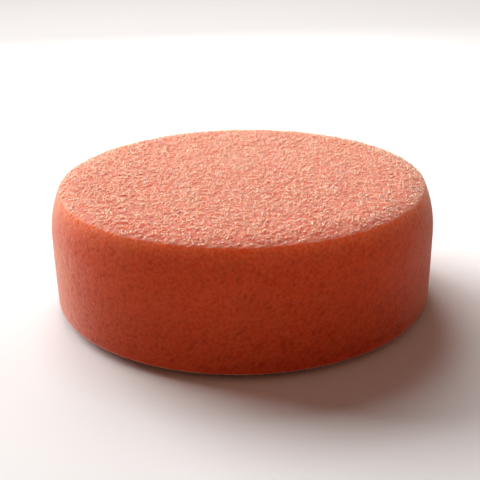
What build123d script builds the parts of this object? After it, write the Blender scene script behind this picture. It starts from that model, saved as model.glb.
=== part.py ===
from build123d import *
import os

# Round foam polishing pad for a 75 mm hook-and-loop backing plate, in millimetres.
# It lies with its working face up. The origin is the centre of the loop face underneath,
# and +Z points from the loops towards the working face.

# Driving dimensions
pad_diameter = 80.0        # widest part of the foam's side wall
foam_thickness = 25.0
backing_diameter = 75.0    # matches the machine's backing plate
film_thickness = 0.2
cloth_thickness = 0.5
pile_height = 1.0

# Side wall: widest at widest_rise above the foam's underside, drawn in above and below
widest_rise = 15.0
draw_in_top = 2.1
draw_in_bottom = 0.2
bottom_edge_radius = 0.8

# Edge of the working face: it falls away gently, then breaks into the side wall
face_edge_width = 5.0
face_edge_drop = 0.8
edge_break_radius = 0.8

# Heights of the layers, from the loop face up
pile_top = pile_height
cloth_top = pile_top + cloth_thickness
film_top = cloth_top + film_thickness
foam_top = film_top + foam_thickness
widest_height = film_top + widest_rise

pad_radius = pad_diameter / 2
backing_radius = backing_diameter / 2
break_radius = pad_radius - draw_in_top
bottom_corner = (pad_radius - draw_in_bottom, film_top)
widest_point = (pad_radius, widest_height)
break_point = (break_radius, foam_top - face_edge_drop)
flat_edge = (break_radius - face_edge_width, foam_top)

# Loop pile: the brushed loops, as the closed disc that they fill
with BuildPart() as loop_pile:
    with BuildSketch(Plane.XY):
        Circle(backing_radius)
    extrude(amount=pile_height)

# Ground cloth that the loops are knitted into
with BuildPart() as backing_cloth:
    with BuildSketch(Plane.XY.offset(pile_top)):
        Circle(backing_radius)
    extrude(amount=cloth_thickness)

# Hot-melt film between the cloth and the foam
with BuildPart() as adhesive_film:
    with BuildSketch(Plane.XY.offset(cloth_top)):
        Circle(backing_radius)
    extrude(amount=film_thickness)

# Foam disc: half section in XZ, turned about Z
with BuildPart() as foam_disc:
    with BuildSketch(Plane.XZ) as foam_section:
        with BuildLine():
            Line((0, foam_top), (0, film_top))
            Line((0, film_top), bottom_corner)
            TangentArc(widest_point, bottom_corner, tangent=(0, -1))
            TangentArc(widest_point, break_point, tangent=(0, 1))
            TangentArc(flat_edge, break_point, tangent=(1, 0))
            Line(flat_edge, (0, foam_top))
        make_face()
        # Inside the sketch the section's height runs along the sketch's own Y
        underside_vertices = foam_section.vertices().group_by(Axis.Y)[0]
        fillet(underside_vertices.sort_by(Axis.X)[-1], radius=bottom_edge_radius)
        edge_break = foam_section.vertices().sort_by_distance(break_point)[0]
        fillet(edge_break, radius=edge_break_radius)
    revolve(axis=Axis.Z)

loop_pile.part.label = "loop_pile"
backing_cloth.part.label = "backing_cloth"
adhesive_film.part.label = "adhesive_film"
foam_disc.part.label = "foam_disc"

os.makedirs("parts", exist_ok=True)
export_step(loop_pile.part, "parts/loop_pile.step")
export_step(backing_cloth.part, "parts/backing_cloth.step")
export_step(adhesive_film.part, "parts/adhesive_film.step")
export_step(foam_disc.part, "parts/foam_disc.step")
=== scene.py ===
import math
from itertools import product

import bpy
import numpy as np
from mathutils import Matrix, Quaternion, Vector


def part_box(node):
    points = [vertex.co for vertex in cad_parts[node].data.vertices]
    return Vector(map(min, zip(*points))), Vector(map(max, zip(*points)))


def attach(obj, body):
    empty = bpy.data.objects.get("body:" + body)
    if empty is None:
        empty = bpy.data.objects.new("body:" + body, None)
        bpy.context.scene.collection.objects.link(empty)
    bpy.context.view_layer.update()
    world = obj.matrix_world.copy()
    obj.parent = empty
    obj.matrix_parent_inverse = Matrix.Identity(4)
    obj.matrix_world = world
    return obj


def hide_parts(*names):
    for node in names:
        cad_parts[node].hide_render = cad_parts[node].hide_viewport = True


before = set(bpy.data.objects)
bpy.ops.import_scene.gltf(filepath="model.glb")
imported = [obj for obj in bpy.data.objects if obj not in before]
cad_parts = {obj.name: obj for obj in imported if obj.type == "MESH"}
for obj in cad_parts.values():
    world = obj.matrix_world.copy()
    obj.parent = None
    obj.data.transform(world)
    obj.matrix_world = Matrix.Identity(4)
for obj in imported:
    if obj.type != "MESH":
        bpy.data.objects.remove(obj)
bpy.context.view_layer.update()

# Foam polishing pad, in metres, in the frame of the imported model: working face up, loops underneath.

MM = 0.001

# ---------------------------------------------------------------------------
# Driving dimensions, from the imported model
# ---------------------------------------------------------------------------
foam_low, foam_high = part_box("foam_disc")
film_low, film_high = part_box("adhesive_film")
cloth_low, cloth_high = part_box("backing_cloth")
pile_low, pile_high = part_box("loop_pile")
FOAM_RADIUS = foam_high[0]
BACKING_RADIUS = cloth_high[0]
WORKING_FACE = foam_high[2]
FOAM_UNDERSIDE = foam_low[2]

# The foam's section, as in the CAD model
WIDEST_RISE = 15.0 * MM
DRAW_IN_TOP = 2.1 * MM
DRAW_IN_BOTTOM = 0.2 * MM
FACE_EDGE_WIDTH = 5.0 * MM
FACE_EDGE_DROP = 0.8 * MM
CORNER_ROUNDING = 0.8 * MM

# Foam mesh
FACE_RINGS = 135           # rings of the flat working face; ring k has 6 k vertices
EDGE_ROWS = 25             # rows from the flat face to just below the break, set as closely as the face
SIDE_ROWS = 58             # rows from there to the underside, half as many points to the row
SECTION_STEPS = 4000       # fine steps along the section, before it is cut into rows
HIDDEN_FROM = 0.9          # of the backing's radius, where one fan closes the hidden underside
UNEVENNESS = 0.22          # of the spacing, so that no ring or spoke of the mesh shows

# Random cells
CELL_TABLE = 64            # cells along each side of the table that repeats
CELL_CRISPNESS = 7.0       # how sharply one cell's number gives way to the next one's
FAR = 9.0                  # further than any neighbouring cell, in cell sizes

# Foam cells: tufts in relief over the working face as far as its break, fine pores down the side
TUFT_CELL = 0.44 * MM
TUFT_HEIGHT = 0.26 * MM
TUFT_CONTRAST = 1.2
PATCH_CELL = 1.3 * MM      # patches of taller and lower tufts
PATCH_CONTRAST = 0.35
PROUD = 0.08 * MM          # how far the tallest tufts stand above the nominal surface
FOAM_SEED = 11
TUFT_SEED = 1
PATCH_SEED = 2
SIDE_SEED = 3
SIDE_CELL = 1.1 * MM
SIDE_DEPTH = 0.14 * MM
SIDE_PROUD = 0.3           # of that depth, how far the walls of the pores stand out
PORE_WALL = (0.05, 0.6)    # distances from a pore's wall at which it starts and stops to deepen, in cells
PORE_LEAST = 0.3           # depth of the shallowest pore, as a share of the deepest one's
COARSE_FROM = math.radians(32)   # slope of the break where the tufts begin, from the side up
COARSE_FULL = math.radians(52)
EDGE_HIGHLIGHT_ALL = math.radians(66)      # slope of the face's edge up to which it carries the full painted highlight
EDGE_HIGHLIGHT_NONE = math.radians(88)
EDGE_HIGHLIGHT_PALE = 0.85           # how much of the pits' painted shade that painted highlight takes away
GLOW_DEPTH = 1.6 * MM      # how far below the break the painted glow of light inside the foam reaches

# Loose cut struts that stand up from the tufts
STRUT_COARSE = 0.9         # only where the tufts have come up that far
STRUT_LEVEL = 0.5          # only on points at least that high up a tuft
STRUT_SHARE = 0.32         # of those points, each with one strut
STRUT_RADIUS = 0.13 * MM
STRUT_HEIGHT = (0.14 * MM, 0.34 * MM)
STRUT_HALF = 0.4           # of its height, how far its foot is below the surface and its bend above it
STRUT_SIDES = 3
STRUT_SCATTER = 0.55       # how much they lean at random
STRUT_UPRIGHT = 0.8        # how much those at the edge of the face turn upright
STRUT_SHADE_TONES = (0.66, 0.5, 0.42)  # how dark their foot, bend and tip are painted, as for a pit: painted shade, deepest at the foot
STRUT_SEED = 31

# Backing: squeezed-out adhesive, knitted cloth and its loops
ADHESIVE_POINTS = 720      # around its edge
ADHESIVE_WAVER = 0.25 * MM
ADHESIVE_BEAD = 0.12 * MM
BEAD_RANGE = (0.2, 1.6)    # of that, from the thinnest to the thickest
# Outline of the bead: share of the thickness from the top down, share of the bead's width
BEAD_PROFILE = ((0.0, 0.0), (0.2, 0.8), (0.5, 1.0), (0.8, 0.8), (1.0, 0.0))
CLOTH_RINGS = 120
WALE_PITCH = 1.1 * MM      # stitch columns and rows of the knit
COURSE_PITCH = 0.9 * MM
WALE_RELIEF = 0.3          # of the knit's relief, to either side of its middle
COURSE_RELIEF = 0.2
KNIT_RELIEF = 0.12 * MM
CLOTH_FRAY = 0.12 * MM
FRAY_FROM = 0.9            # of the cloth's radius
RIM_RINGS = 2              # the outermost rings, where the relief fades out
CLOTH_EDGE_ROWS = 3
LOOP_COUNT = 5200
LOOP_SEED = 23
ADHESIVE_SEED = 24
CLOTH_SEED = 25
LOOP_POINTS = 7            # along each loop
LOOP_SIDES = 3
FIBRE_RADIUS = 0.08 * MM
LOOP_SPAN = (0.7 * MM, 1.5 * MM)
LOOP_DEPTH = (0.6, 1.0)    # of the pile's height
LOOP_BOW = 0.45 * MM
LOOP_JITTER = 0.5 * MM
GOLDEN_ANGLE = math.pi * (3 - math.sqrt(5))

# Colours and patterns. Tones run from tuft or pore wall to pit, as (how deep in a pit, colour); darker in the
# pits as painted shade.
WHITE = (1.0, 1.0, 1.0)
FACE_TONES = ((0.1, (0.96, 0.366, 0.270)), (0.5, (0.89, 0.285, 0.204)), (0.9, (0.78, 0.208, 0.137)))
# The side's tones are painted shade: a deeper, darker copy of the foam's colour, darkest in its pores.
SHADED_SIDE_TONES = ((0.0, (0.75, 0.108, 0.027)), (1.0, (0.34, 0.031, 0.006)))
PAINTED_GLOW_COLOUR = (0.98, 0.29, 0.12, 1.0)
FACE_MOTTLE = ((0.35, (0.86, 0.77, 0.79)), (0.65, WHITE))
FACE_MOTTLE_SIZE = 0.42 * MM
SIDE_MOTTLE = ((0.35, (0.90, 0.60, 0.40)), (0.65, WHITE))
SIDE_MOTTLE_SIZE = 0.62 * MM
TINTS = ((0.35, (1.0, 0.96, 1.0)), (0.65, (0.99, 1.0, 0.86)))
TINT_SIZE = 1.0 * MM
BUMP_SIZE = 0.36 * MM
BUMP_DEPTH = 0.20 * MM
BUMP_STRENGTH = 0.85
FOAM_ROUGHNESS = (0.7, 0.95)     # from the tufts to the pits
SCATTER_DEPTH = 3 * MM           # how far light goes inside the foam, times the share of each colour
SCATTER_COLOURS = (1.6, 0.5, 0.3)
SHEEN_TINT = (1.0, 0.84, 0.74, 1.0)
BLOTCH_SIZE = 3.0 * MM           # in the adhesive, cloth and loops
BLOTCHES = ((0.3, (0.72, 0.72, 0.74)), (0.7, WHITE))

# Backdrop and floor
BACKDROP_LIGHT = 0.06      # strength of the backdrop as a light
BACKDROP_LOOK = 0.75       # and as it is seen
BACKDROP_COLOUR = (1.0, 0.98, 0.96, 1.0)
SOFTBOX_COLOUR = (1.0, 0.97, 0.94)
FLOOR_COLOUR = (0.93, 0.96, 0.98, 1.0)
FLOOR_HALF = 20.0          # metres, so that its far edge is the horizon

# Camera, at the viewing angle of the reference
AIM = Vector((-0.55 * MM, 0.0, 11.8 * MM))
CAMERA_DISTANCE = 196.0 * MM
CAMERA_PITCH = math.radians(22.2)
CAMERA_ROLL = math.radians(-1.0)
CAMERA_LENS = 68.0


# ---------------------------------------------------------------------------
# Mesh helpers
# ---------------------------------------------------------------------------
def mesh_object(name, vertices, faces, material):
    """A smooth-shaded object from arrays of points and triangles."""
    mesh = bpy.data.meshes.new(name)
    mesh.from_pydata(vertices.tolist(), [], faces.tolist())
    mesh.validate()
    mesh.polygons.foreach_set("use_smooth", [True] * len(mesh.polygons))
    mesh.materials.append(material)
    piece = bpy.data.objects.new(name, mesh)
    bpy.context.collection.objects.link(piece)
    return piece


def disc_angles(rings):
    """Ring number and angle of each vertex of a disc of evenly spaced points."""
    ring = [0]
    angle = [0.0]
    for k in range(1, rings + 1):
        ring.extend([k] * 6 * k)
        angle.extend(np.arange(6 * k) * math.tau / (6 * k))
    return np.array(ring), np.array(angle)


def disc_faces(rings):
    """Triangles of that disc, wound so that they face up."""
    faces = []
    for k in range(1, rings + 1):
        outer_start = 1 + 3 * k * (k - 1)
        inner_start = 1 + 3 * (k - 1) * (k - 2) if k > 1 else 0
        inner_count = max(6 * (k - 1), 1)
        for sector in range(6):
            for i in range(k):
                a = outer_start + sector * k + i
                b = outer_start + (sector * k + i + 1) % (6 * k)
                c = inner_start + (sector * (k - 1) + i) % inner_count
                faces.append((a, b, c))
                if i < k - 1:
                    d = inner_start + (sector * (k - 1) + i + 1) % inner_count
                    faces.append((b, d, c))
    return faces


def band_faces(upper, lower, count):
    """Triangles between two rings of count points, whose first points are upper and lower."""
    faces = []
    for i in range(count):
        j = (i + 1) % count
        faces.append((upper + i, lower + i, upper + j))
        faces.append((upper + j, lower + i, lower + j))
    return faces


def halving_faces(upper, lower, count):
    """Triangles between a ring of count points and one of half as many."""
    faces = []
    for i in range(count // 2):
        j = (i + 1) % (count // 2)
        left, middle, right = upper + 2 * i, upper + 2 * i + 1, upper + 2 * j
        faces.append((left, lower + i, middle))
        faces.append((middle, lower + i, lower + j))
        faces.append((middle, lower + j, right))
    return faces


def smooth(value, low, high):
    """0 below low, 1 above high, smooth between."""
    t = np.clip((value - low) / (high - low), 0, 1)
    return t * t * (3 - 2 * t)


def cells(points, size, seed):
    """Random cells of that size. For each point: how far it is from its cell's wall, 0 on it, in cell sizes,
    its cell's own random number, and that number blended softly from cell to cell."""
    table = np.random.default_rng(seed).random((CELL_TABLE, CELL_TABLE, CELL_TABLE, 4))
    scaled = points / size
    corner = np.floor(scaled).astype(int)
    first = np.full(len(points), FAR)
    second = np.full(len(points), FAR)
    tone = np.zeros(len(points))
    blend = np.zeros(len(points))
    total = np.zeros(len(points))
    for step in product((-1, 0, 1), repeat=3):
        cell = corner + np.array(step)
        entry = table[tuple((cell % CELL_TABLE).T)]
        distance = np.linalg.norm(cell + entry[:, :3] - scaled, axis=1)
        weight = np.exp(-CELL_CRISPNESS * distance ** 2)
        blend += weight * entry[:, 3]
        total += weight
        nearer = distance < first
        second = np.where(nearer, first, np.minimum(second, distance))
        tone = np.where(nearer, entry[:, 3], tone)
        first = np.where(nearer, distance, first)
    return second - first, tone, blend / total


def unit(vectors):
    """The vectors, each made one unit long."""
    return vectors / np.linalg.norm(vectors, axis=-1, keepdims=True)


def set_attribute(piece, name, values):
    """A number for each point of the mesh, for its material to read."""
    piece.data.attributes.new(name, "FLOAT", "POINT").data.foreach_set("value", values)


# ---------------------------------------------------------------------------
# Foam
# ---------------------------------------------------------------------------
def section_arc(start, reach, rise, upright):
    """Points from start, along the arc that leaves it level or upright and ends at that offset."""
    t = np.linspace(0, 1, SECTION_STEPS)[:, None]
    along, across = (rise, reach) if upright else (reach, rise)
    radius = (along ** 2 + across ** 2) / (2 * abs(across))
    swept = t * math.asin(abs(along) / radius)
    along = math.copysign(radius, along) * np.sin(swept)
    across = math.copysign(radius, across) * (1 - np.cos(swept))
    return np.hstack((across, along) if upright else (along, across)) + start


def section_line(flat_radius):
    """The section with sharp corners, from just inside the flat face's rim to below the backing."""
    break_height = WORKING_FACE - FACE_EDGE_DROP
    widest = (FOAM_RADIUS, FOAM_UNDERSIDE + WIDEST_RISE)
    rim = (flat_radius, WORKING_FACE)
    inside_rim = (flat_radius - CORNER_ROUNDING, WORKING_FACE)
    bottom = (FOAM_RADIUS - DRAW_IN_BOTTOM, FOAM_UNDERSIDE)
    hidden = (HIDDEN_FROM * BACKING_RADIUS, FOAM_UNDERSIDE)
    return np.concatenate((
        np.linspace(inside_rim, rim, SECTION_STEPS),
        section_arc(rim, FACE_EDGE_WIDTH, -FACE_EDGE_DROP, False),
        section_arc(widest, -DRAW_IN_TOP, break_height - widest[1], True)[::-1],
        section_arc(widest, -DRAW_IN_BOTTOM, -WIDEST_RISE, True),
        np.linspace(bottom, hidden, SECTION_STEPS),
    ))


def foam_section():
    """The section below the flat face, as rows of (radius, height, slope of the surface's normal).
    Returns the flat face's radius, the close rows of its edge and the rows below them."""
    flat_radius = FOAM_RADIUS - DRAW_IN_TOP - FACE_EDGE_WIDTH
    line = section_line(flat_radius)
    # Corners are rounded by averaging along the line
    length = np.concatenate(((0,), np.cumsum(np.linalg.norm(np.diff(line, axis=0), axis=1))))
    even = np.linspace(0, length[-1], SECTION_STEPS)
    line = np.stack([np.interp(even, length, line[:, axis]) for axis in (0, 1)], axis=1)
    width = max(round(CORNER_ROUNDING / even[1]), 1)
    window = np.full(width, 1 / width)
    line = np.stack([np.convolve(line[:, axis], window, "valid") for axis in (0, 1)], axis=1)
    even = even[:len(line)]
    run = np.gradient(line, axis=0)
    slope = np.arctan2(run[:, 0], -run[:, 1])

    def rows(begin, end, count):
        at = np.linspace(begin, end, count + 1)[1:]
        return np.stack([np.interp(at, even, values) for values in (line[:, 0], line[:, 1], slope)], axis=1)

    rim = 1 + np.argmax(line[:, 0] > flat_radius)
    start = np.interp(flat_radius, line[:rim, 0], even[:rim])
    edge_end = start + EDGE_ROWS * (flat_radius / FACE_RINGS)
    return flat_radius, rows(start, edge_end, EDGE_ROWS), rows(edge_end, even[-1], SIDE_ROWS)


def foam_surface():
    """Points and triangles of the foam before its cells, with the angle and slope of each point's normal."""
    flat_radius, edge_rows, side_rows = foam_section()
    ring, angle = disc_angles(FACE_RINGS)
    radii = [ring * flat_radius / FACE_RINGS]
    heights = [np.full(len(ring), WORKING_FACE)]
    slopes = [np.full(len(ring), math.pi / 2)]
    angles = [angle]
    faces = disc_faces(FACE_RINGS)
    count = 6 * FACE_RINGS
    total = len(ring)
    upper = total - count
    for rows, row_count in ((edge_rows, count), (side_rows, count // 2)):
        for radius, height, slope in rows:
            radii.append(np.full(row_count, radius))
            heights.append(np.full(row_count, height))
            slopes.append(np.full(row_count, slope))
            angles.append(np.arange(row_count) * math.tau / row_count)
            if row_count < count:
                faces.extend(halving_faces(upper, total, count))
                count = row_count
            else:
                faces.extend(band_faces(upper, total, count))
            upper = total
            total += row_count
    hub = total
    for values, value in ((radii, 0.0), (heights, FOAM_UNDERSIDE), (slopes, -math.pi / 2), (angles, 0.0)):
        values.append(np.array([value]))
    faces.extend((upper + (i + 1) % count, upper + i, hub) for i in range(count))
    return [np.concatenate(values) for values in (radii, heights, slopes, angles)] + [np.array(faces)]


def below_break(height):
    """How far the points are below the break of the face's edge, 0 above it."""
    return np.maximum(WORKING_FACE - FACE_EDGE_DROP - height, 0)


def foam_relief(points, height, slope, coarse):
    """How far each point rises above the nominal surface, how deep in a pit it looks, how high up a tuft it
    is, and how much painted highlight it takes along the face's edge. How deep in a pit it looks sets painted
    shade: darker in the pits and pores, darker down the side towards the bottom, paler under that highlight."""
    _, _, tuft = cells(points, TUFT_CELL, TUFT_SEED)
    _, _, patch = cells(points, PATCH_CELL, PATCH_SEED)
    level = np.clip(0.5 + TUFT_CONTRAST * (tuft - 0.5) + PATCH_CONTRAST * (patch - 0.5), 0, 1)
    wall, tone, _ = cells(points, SIDE_CELL, SIDE_SEED)
    pore = smooth(wall, *PORE_WALL) * (PORE_LEAST + (1 - PORE_LEAST) * tone)
    tuft_rise = PROUD - TUFT_HEIGHT * (1 - level)
    side_rise = SIDE_PROUD * SIDE_DEPTH - SIDE_DEPTH * pore
    rise = coarse * tuft_rise + (1 - coarse) * side_rise

    # Painted highlight along the face's edge: the pits' painted shade is lessened there.
    edge_highlight = 1 - smooth(slope, EDGE_HIGHLIGHT_ALL, EDGE_HIGHLIGHT_NONE)
    # Painted shade down the side, darker towards the bottom.
    shade_down_side = below_break(height) / (WORKING_FACE - FOAM_UNDERSIDE)
    pit = coarse * (1 - level) * (1 - EDGE_HIGHLIGHT_PALE * edge_highlight) + (1 - coarse) * 0.5 * (pore + shade_down_side)
    return rise, pit, level, edge_highlight


def make_foam(material):
    """The foam's closed mesh, and the place, normal and painted edge highlight of the points that carry a
    loose strut.
    """
    rng = np.random.default_rng(FOAM_SEED)
    radius, height, slope, angle, faces = foam_surface()
    outward = np.stack((np.cos(angle), np.sin(angle), np.zeros(len(angle))), axis=1)
    normals = outward * np.cos(slope)[:, None]
    normals[:, 2] = np.sin(slope)
    points = outward * radius[:, None]
    points[:, 2] = height
    on_show = smooth(height, FOAM_UNDERSIDE, FOAM_UNDERSIDE + CORNER_ROUNDING)
    sideways = rng.normal(size=points.shape)
    sideways -= normals * np.sum(sideways * normals, axis=1)[:, None]
    spacing = BACKING_RADIUS / FACE_RINGS
    points = points + sideways * (UNEVENNESS * spacing * on_show)[:, None]

    coarse = smooth(slope, COARSE_FROM, COARSE_FULL)
    rise, pit, level, edge_highlight = foam_relief(points, height, slope, coarse)
    points = points + normals * (rise * on_show)[:, None]
    foam = mesh_object("foam_disc_cells", points, faces, material)
    set_attribute(foam, "pit", pit)
    set_attribute(foam, "shaded_side", 1 - coarse)
    set_attribute(foam, "glow", np.exp(-below_break(height) / GLOW_DEPTH))

    chosen = rng.random(len(level)) < STRUT_SHARE
    rooted = np.flatnonzero((coarse > STRUT_COARSE) & (level > STRUT_LEVEL) & chosen)
    return foam, points[rooted], normals[rooted], edge_highlight[rooted]


def make_struts(roots, normals, edge_highlight, material):
    """The loose struts: each a short bent spike on a triangle, closed, its foot inside the foam. They lack
    the foam's other attributes, so that they take the face's colour."""
    rng = np.random.default_rng(STRUT_SEED)
    upward = normals + (0, 0, STRUT_UPRIGHT)
    lean = unit(upward + STRUT_SCATTER * rng.normal(size=roots.shape))
    bend = unit(upward + STRUT_SCATTER * rng.normal(size=roots.shape))
    first = unit(np.cross(lean, rng.normal(size=roots.shape)))
    second = np.cross(lean, first)
    height = rng.uniform(*STRUT_HEIGHT, len(roots))[:, None]
    turn = np.arange(STRUT_SIDES) * math.tau / STRUT_SIDES
    ring = first[:, None] * np.cos(turn)[:, None] + second[:, None] * np.sin(turn)[:, None]
    foot = roots - STRUT_HALF * height * lean
    middle = roots + STRUT_HALF * height * lean
    tip = middle + (1 - STRUT_HALF) * height * bend
    points = np.concatenate((foot[:, None] + STRUT_RADIUS * ring, middle[:, None] + STRUT_RADIUS * ring,
                             tip[:, None]), axis=1)

    one = band_faces(STRUT_SIDES, 0, STRUT_SIDES) + [(0, 2, 1)]
    for i in range(STRUT_SIDES):
        one.append((STRUT_SIDES + i, STRUT_SIDES + (i + 1) % STRUT_SIDES, 2 * STRUT_SIDES))
    starts = np.arange(len(roots))[:, None, None] * points.shape[1]
    faces = (np.array(one)[None] + starts).reshape(-1, 3)
    struts = mesh_object("foam_disc_struts", points.reshape(-1, 3), faces, material)
    # Painted shade on each strut, darkest at its foot and palest at its tip, lessened under the painted edge
    # highlight.
    tones = np.repeat(STRUT_SHADE_TONES, (STRUT_SIDES, STRUT_SIDES, 1))[None]
    set_attribute(struts, "pit", (tones * (1 - EDGE_HIGHLIGHT_PALE * edge_highlight)[:, None]).ravel())
    return struts


# ---------------------------------------------------------------------------
# Backing
# ---------------------------------------------------------------------------
def wander(angle, rng, waves, lowest):
    """A smooth random value of unit size around the circle, made of that many waves."""
    total = np.zeros(len(angle))
    for _ in range(waves):
        total += np.sin(rng.integers(lowest, 4 * lowest) * angle + rng.uniform(0, math.tau))
    return total / math.sqrt(waves / 2)


def make_adhesive(material):
    """The film, about as wide as the cloth, with a small bead where it was squeezed out at the edge."""
    rng = np.random.default_rng(ADHESIVE_SEED)
    angle = np.arange(ADHESIVE_POINTS) * math.tau / ADHESIVE_POINTS
    edge = BACKING_RADIUS - ADHESIVE_WAVER * (1 - 0.5 * wander(angle, rng, waves=9, lowest=11))
    bead = ADHESIVE_BEAD * (1 + 0.5 * wander(angle, rng, waves=7, lowest=30)).clip(*BEAD_RANGE)
    thickness = film_high[2] - film_low[2]
    points = []
    faces = []
    for share, out in BEAD_PROFILE:
        radius = edge + out * bead
        height = np.full(len(angle), film_high[2] - share * thickness)
        points.append(np.stack((radius * np.cos(angle), radius * np.sin(angle), height), axis=1))
    for row in range(len(points) - 1):
        faces += band_faces(row * len(angle), (row + 1) * len(angle), len(angle))
    last = (len(points) - 1) * len(angle)
    hub = last + len(angle)
    points.append(np.array(((0, 0, film_high[2]), (0, 0, film_low[2]))))
    for i in range(len(angle)):
        j = (i + 1) % len(angle)
        faces += [(i, j, hub), (last + j, last + i, hub + 1)]
    return mesh_object("adhesive_film_layer", np.concatenate(points), np.array(faces), material)


def make_cloth(material):
    """The knitted ground cloth: stitches in relief underneath, smooth where it is glued, and a slightly
    frayed edge."""
    rng = np.random.default_rng(CLOTH_SEED)
    ring, angle = disc_angles(CLOTH_RINGS)
    outward = np.stack((np.cos(angle), np.sin(angle), np.zeros(len(angle))), axis=1)
    fray = CLOTH_FRAY * (0.5 * wander(angle, rng, waves=9, lowest=40) - 1)
    rim_share = smooth(ring, FRAY_FROM * CLOTH_RINGS, CLOTH_RINGS)
    radius = ring * BACKING_RADIUS / CLOTH_RINGS + fray * rim_share
    points = outward * radius[:, None]
    wale = points[:, 0] / WALE_PITCH
    lean = np.abs(wale % 1 - 0.5)
    course = points[:, 1] / COURSE_PITCH + lean
    stitch = 0.5 + WALE_RELIEF * np.cos(math.tau * wale) + COURSE_RELIEF * np.cos(math.tau * course)
    relief = KNIT_RELIEF * (1 - smooth(ring, CLOTH_RINGS - RIM_RINGS, CLOTH_RINGS))
    points[:, 2] = cloth_low[2] + relief * (1 - stitch)
    faces = [(a, c, b) for a, b, c in disc_faces(CLOTH_RINGS)]
    count = 6 * CLOTH_RINGS
    rim = points[-count:]
    rows = [points]
    upper = len(points) - count
    total = len(points)
    for row in range(1, CLOTH_EDGE_ROWS + 1):
        share = row / CLOTH_EDGE_ROWS
        lifted = rim + outward[-count:] * (0.5 * CLOTH_FRAY * math.sin(math.pi * share))
        lifted[:, 2] = cloth_low[2] + share * (cloth_high[2] - cloth_low[2])
        rows.append(lifted)
        faces += band_faces(total, upper, count)
        upper = total
        total += count
    rows.append(np.array([(0, 0, cloth_high[2])]))
    faces += [(upper + i, upper + (i + 1) % count, total) for i in range(count)]
    cloth = mesh_object("backing_cloth_knit", np.concatenate(rows), np.array(faces), material)
    # The cloth is darker where its stitches lie deeper.
    tones = np.concatenate((stitch, np.full(total + 1 - len(stitch), 0.5)))
    set_attribute(cloth, "stitch", tones)
    return cloth


def make_loops(material):
    """Small fibre loops that hang from the cloth, evenly spread, each a thin curved tube."""
    rng = np.random.default_rng(LOOP_SEED)
    number = np.arange(LOOP_COUNT)
    reach = BACKING_RADIUS - 0.5 * LOOP_SPAN[1]
    spread = reach * np.sqrt((number + 0.5) / LOOP_COUNT)
    turned = number * GOLDEN_ANGLE
    middle = spread[:, None] * np.stack((np.cos(turned), np.sin(turned)), axis=1)
    middle += rng.uniform(-LOOP_JITTER, LOOP_JITTER, middle.shape)
    heading = rng.uniform(0, math.tau, LOOP_COUNT)
    along = np.stack((np.cos(heading), np.sin(heading), 0 * heading), axis=1)[:, None]
    across = np.stack((-np.sin(heading), np.cos(heading), 0 * heading), axis=1)[:, None]
    span = rng.uniform(*LOOP_SPAN, LOOP_COUNT)[:, None]
    bow = rng.uniform(-LOOP_BOW, LOOP_BOW, LOOP_COUNT)[:, None]
    depth = (rng.uniform(*LOOP_DEPTH, LOOP_COUNT) * (pile_high[2] - pile_low[2] - FIBRE_RADIUS))[:, None]

    t = np.linspace(0, 1, LOOP_POINTS)[None, :]
    hang = np.sin(math.pi * t)
    path = along * (-0.5 * span * np.cos(math.pi * t))[..., None] + across * (bow * hang)[..., None]
    path[..., :2] += middle[:, None]
    path[..., 2] += pile_high[2] - depth * hang
    # A loop's ends stand in the cloth
    path[:, (0, -1), 2] += FIBRE_RADIUS
    # No loop reaches past the cloth's edge
    radius = np.linalg.norm(path[..., :2], axis=2)
    path[..., :2] *= np.minimum(1, (BACKING_RADIUS - FIBRE_RADIUS) / radius)[..., None]

    run = unit(np.gradient(path, axis=1))
    first = unit(across - run * np.sum(across * run, axis=2, keepdims=True))
    second = np.cross(run, first)
    turn = np.arange(LOOP_SIDES) * math.tau / LOOP_SIDES
    ring = path[:, :, None] + FIBRE_RADIUS * (first[:, :, None] * np.cos(turn)[:, None]
                                              + second[:, :, None] * np.sin(turn)[:, None])
    ring[..., 2] = np.maximum(ring[..., 2], pile_low[2])

    one = []
    for row in range(LOOP_POINTS - 1):
        one += band_faces(row * LOOP_SIDES, (row + 1) * LOOP_SIDES, LOOP_SIDES)
    last = (LOOP_POINTS - 1) * LOOP_SIDES
    one += [(0, 1, 2), (last, last + 2, last + 1)]
    starts = number[:, None, None] * LOOP_POINTS * LOOP_SIDES
    faces = (np.array(one)[None] + starts).reshape(-1, 3)
    loops = mesh_object("loop_pile_fibres", ring.reshape(-1, 3), faces, material)
    tones = np.repeat(rng.random(LOOP_COUNT), LOOP_POINTS * LOOP_SIDES)
    set_attribute(loops, "fibre", tones)
    return loops


# ---------------------------------------------------------------------------
# Materials
# ---------------------------------------------------------------------------
def new_material(name):
    """A material with its nodes, links and shader."""
    material = bpy.data.materials.new(name)
    material.use_nodes = True
    nodes = material.node_tree.nodes
    return material, nodes, material.node_tree.links, nodes["Principled BSDF"]


def ramp_node(nodes, links, value, stops):
    """The colour that a ramp through (position, colour) stops has at that value."""
    node = nodes.new("ShaderNodeValToRGB")
    elements = node.color_ramp.elements
    while len(elements) < len(stops):
        elements.new(0.5)
    for element, (position, colour) in zip(elements, stops):
        element.position = position
        element.color = (*colour, 1)
    links.new(value, node.inputs["Fac"])
    return node.outputs["Color"]


def attribute_node(nodes, name):
    """A number stored at the points of the mesh, 0 where it is missing."""
    node = nodes.new("ShaderNodeAttribute")
    node.attribute_name = name
    return node.outputs["Fac"]


def noise_node(nodes, links, vector, size, detail=2.0):
    """Noise with features of about that size."""
    node = nodes.new("ShaderNodeTexNoise")
    node.inputs["Scale"].default_value = 1 / size
    node.inputs["Detail"].default_value = detail
    links.new(vector, node.inputs["Vector"])
    return node.outputs["Fac"]


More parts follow.
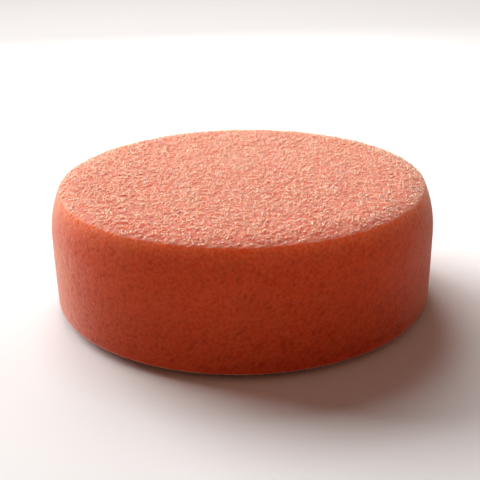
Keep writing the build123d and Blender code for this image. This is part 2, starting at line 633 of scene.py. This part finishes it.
def range_node(nodes, links, value, low, high):
    """The value from 0 to 1 stretched to run from low to high."""
    node = nodes.new("ShaderNodeMapRange")
    node.inputs["To Min"].default_value = low
    node.inputs["To Max"].default_value = high
    links.new(value, node.inputs["Value"])
    return node.outputs["Result"]


def mix_node(nodes, links, factor, first, second, blend="MIX"):
    """Two colours, each a value or a socket, mixed by a factor that is one or the other too."""
    node = nodes.new("ShaderNodeMix")
    node.data_type = "RGBA"
    node.blend_type = blend
    for socket, value in (("Factor", factor), ("A", first), ("B", second)):
        target = [i for i in node.inputs if i.name == socket and i.enabled][0]
        if isinstance(value, (float, tuple)):
            target.default_value = value
        else:
            links.new(value, target)
    return [o for o in node.outputs if o.enabled][0]


def bump_node(nodes, links, shader, height, depth, strength=1.0):
    """Bumps of that depth on the shader, from a height between 0 and 1."""
    node = nodes.new("ShaderNodeBump")
    node.inputs["Distance"].default_value = depth
    node.inputs["Strength"].default_value = strength
    links.new(height, node.inputs["Height"])
    links.new(node.outputs["Normal"], shader.inputs["Normal"])


def foam_colour(nodes, links, place, pit):
    """Pale over the face, darker in the pits as painted shade, mottled and slightly varied in hue. Down the
    side a deeper, darker copy of the foam's colour is painted as shade, darkening towards the bottom, with a
    painted glow just below the break.
    """
    shaded_side = attribute_node(nodes, "shaded_side")
    # Down the side, painted shade: a deeper copy of the foam's colour.
    side = ramp_node(nodes, links, pit, SHADED_SIDE_TONES)
    # Painted glow of light inside the foam, just below the break.
    side = mix_node(nodes, links, attribute_node(nodes, "glow"), side, PAINTED_GLOW_COLOUR)
    both = mix_node(nodes, links, shaded_side, ramp_node(nodes, links, pit, FACE_TONES), side)
    face_mottle = ramp_node(nodes, links, noise_node(nodes, links, place, FACE_MOTTLE_SIZE), FACE_MOTTLE)
    side_mottle = ramp_node(nodes, links, noise_node(nodes, links, place, SIDE_MOTTLE_SIZE), SIDE_MOTTLE)
    mottle = mix_node(nodes, links, shaded_side, face_mottle, side_mottle)
    mottled = mix_node(nodes, links, 1.0, both, mottle, "MULTIPLY")
    tint = ramp_node(nodes, links, noise_node(nodes, links, place, TINT_SIZE), TINTS)
    return mix_node(nodes, links, 1.0, mottled, tint, "MULTIPLY")


def foam_material(name, sheen):
    """Foam that light goes into, with a soft sheen of fine fibres."""
    material, nodes, links, shader = new_material(name)
    place = nodes.new("ShaderNodeTexCoord").outputs["Object"]
    pit = attribute_node(nodes, "pit")
    links.new(foam_colour(nodes, links, place, pit), shader.inputs["Base Color"])
    grain = noise_node(nodes, links, place, BUMP_SIZE, detail=3.0)
    bump_node(nodes, links, shader, grain, BUMP_DEPTH, BUMP_STRENGTH)
    links.new(range_node(nodes, links, pit, *FOAM_ROUGHNESS), shader.inputs["Roughness"])
    shader.inputs["Specular IOR Level"].default_value = 0.2
    shader.inputs["Subsurface Weight"].default_value = 1.0
    shader.inputs["Subsurface Radius"].default_value = SCATTER_COLOURS
    shader.inputs["Subsurface Scale"].default_value = SCATTER_DEPTH
    shader.inputs["Sheen Weight"].default_value = sheen
    shader.inputs["Sheen Roughness"].default_value = 0.3
    shader.inputs["Sheen Tint"].default_value = SHEEN_TINT
    return material


def backing_material(name, attribute, tones, grain_size, grain_depth, roughness, sheen=0.0):
    """Fibre or film: a tone from the mesh between two colours, blotched and grained by noise. Without an
    attribute the blotches set the tone too."""
    material, nodes, links, shader = new_material(name)
    place = nodes.new("ShaderNodeTexCoord").outputs["Object"]
    blotches = noise_node(nodes, links, place, BLOTCH_SIZE)
    value = attribute_node(nodes, attribute) if attribute else blotches
    tone = ramp_node(nodes, links, value, list(zip((0.0, 1.0), tones)))
    blotch = ramp_node(nodes, links, blotches, BLOTCHES)
    links.new(mix_node(nodes, links, 1.0, tone, blotch, "MULTIPLY"), shader.inputs["Base Color"])
    grain = noise_node(nodes, links, place, grain_size, detail=3.0)
    bump_node(nodes, links, shader, grain, grain_depth)
    links.new(range_node(nodes, links, grain, *roughness), shader.inputs["Roughness"])
    shader.inputs["Sheen Weight"].default_value = sheen
    shader.inputs["Specular IOR Level"].default_value = 0.3
    return material


def adhesive_material():
    return backing_material("adhesive", None, tones=((0.42, 0.27, 0.11), (0.66, 0.48, 0.24)),
                            grain_size=0.5 * MM, grain_depth=0.05 * MM, roughness=(0.3, 0.5))


def knit_material():
    return backing_material("backing_knit", "stitch", tones=((0.012, 0.011, 0.013), (0.060, 0.056, 0.058)),
                            grain_size=0.2 * MM, grain_depth=0.05 * MM, roughness=(0.8, 1.0), sheen=0.25)


def loop_material():
    return backing_material("loops", "fibre", tones=((0.030, 0.028, 0.030), (0.075, 0.071, 0.073)),
                            grain_size=0.25 * MM, grain_depth=0.03 * MM, roughness=(0.5, 0.75), sheen=0.25)


# ---------------------------------------------------------------------------
# Camera, light and floor
# ---------------------------------------------------------------------------
def add_camera():
    """The view from straight in front of the pad, slightly above it."""
    data = bpy.data.cameras.new("camera")
    data.lens = CAMERA_LENS
    data.sensor_width = 36.0
    data.clip_start = 0.01
    data.clip_end = 100.0
    camera = bpy.data.objects.new("camera", data)
    bpy.context.collection.objects.link(camera)
    back = Vector((0.0, -math.cos(CAMERA_PITCH), math.sin(CAMERA_PITCH)))
    camera.location = AIM + back * CAMERA_DISTANCE
    camera.rotation_mode = "QUATERNION"
    camera.rotation_quaternion = back.to_track_quat("Z", "Y") @ Quaternion((0, 0, 1), CAMERA_ROLL)
    bpy.context.scene.camera = camera


def direction(azimuth, elevation):
    """Unit vector from the pad. Azimuth 0 is straight behind it and 90 on its left, in degrees."""
    around = math.radians(azimuth)
    above = math.radians(elevation)
    return Vector((-math.sin(around) * math.cos(above), math.cos(around) * math.cos(above), math.sin(above)))


def add_sun(name, azimuth, elevation, strength, spread, colour):
    """A distant soft light, spread degrees wide."""
    data = bpy.data.lights.new(name, "SUN")
    data.energy = strength
    data.angle = math.radians(spread)
    data.color = colour
    light = bpy.data.objects.new(name, data)
    bpy.context.collection.objects.link(light)
    light.rotation_mode = "QUATERNION"
    light.rotation_quaternion = direction(azimuth, elevation).to_track_quat("Z", "Y")


def add_softbox(name, azimuth, elevation, distance, side, power, colour):
    """A square light that faces the pad, close enough for its light to fall off across the pad."""
    data = bpy.data.lights.new(name, "AREA")
    data.energy = power
    data.size = side
    data.color = colour
    light = bpy.data.objects.new(name, data)
    bpy.context.collection.objects.link(light)
    towards = direction(azimuth, elevation)
    light.location = AIM + towards * distance
    light.visible_camera = False
    light.rotation_mode = "QUATERNION"
    light.rotation_quaternion = towards.to_track_quat("Z", "Y")


def add_light():
    """Soft light from behind on the left, and weak warm light on the shaded front."""
    add_softbox("key", azimuth=15, elevation=56, distance=0.6, side=0.24, power=1.15, colour=SOFTBOX_COLOUR)
    add_softbox("rake", azimuth=8, elevation=35, distance=0.28, side=0.2, power=0.36, colour=SOFTBOX_COLOUR)
    add_sun("side", azimuth=49, elevation=25, strength=3.95, spread=40, colour=(1.0, 0.98, 0.96))
    add_sun("fill", azimuth=205, elevation=40, strength=0.42, spread=70, colour=(1.0, 0.36, 0.15))
    add_backdrop()


def add_backdrop():
    """A backdrop that looks pale, but gives only a little light."""
    world = bpy.data.worlds.new("studio")
    world.use_nodes = True
    nodes = world.node_tree.nodes
    links = world.node_tree.links
    background = nodes["Background"]
    background.inputs["Color"].default_value = BACKDROP_COLOUR
    seen = nodes.new("ShaderNodeLightPath").outputs["Is Camera Ray"]
    strength = range_node(nodes, links, seen, BACKDROP_LIGHT, BACKDROP_LOOK)
    links.new(strength, background.inputs["Strength"])
    bpy.context.scene.world = world


def add_floor():
    """A plain pale matte floor."""
    material, _, _, shader = new_material("floor")
    shader.inputs["Base Color"].default_value = FLOOR_COLOUR
    shader.inputs["Roughness"].default_value = 0.9
    shader.inputs["Specular IOR Level"].default_value = 0.1
    corners = FLOOR_HALF * np.array([(-1, -1, 0), (1, -1, 0), (1, 1, 0), (-1, 1, 0)])
    floor = mesh_object("floor", corners, np.array([(0, 1, 2), (0, 2, 3)]), material)


bpy.context.scene.view_settings.view_transform = "Standard"
add_camera()
add_light()
add_floor()

foam, strut_roots, strut_normals, strut_edge_highlight = make_foam(foam_material("foam", sheen=1.0))
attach(foam, "root")
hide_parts("foam_disc")

struts = make_struts(strut_roots, strut_normals, strut_edge_highlight, foam_material("foam_struts", sheen=0.5))
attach(struts, "root")

adhesive = make_adhesive(adhesive_material())
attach(adhesive, "root")
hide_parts("adhesive_film")

loops = make_loops(loop_material())
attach(loops, "root")
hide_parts("loop_pile")

cloth = make_cloth(knit_material())
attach(cloth, "root")
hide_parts("backing_cloth")
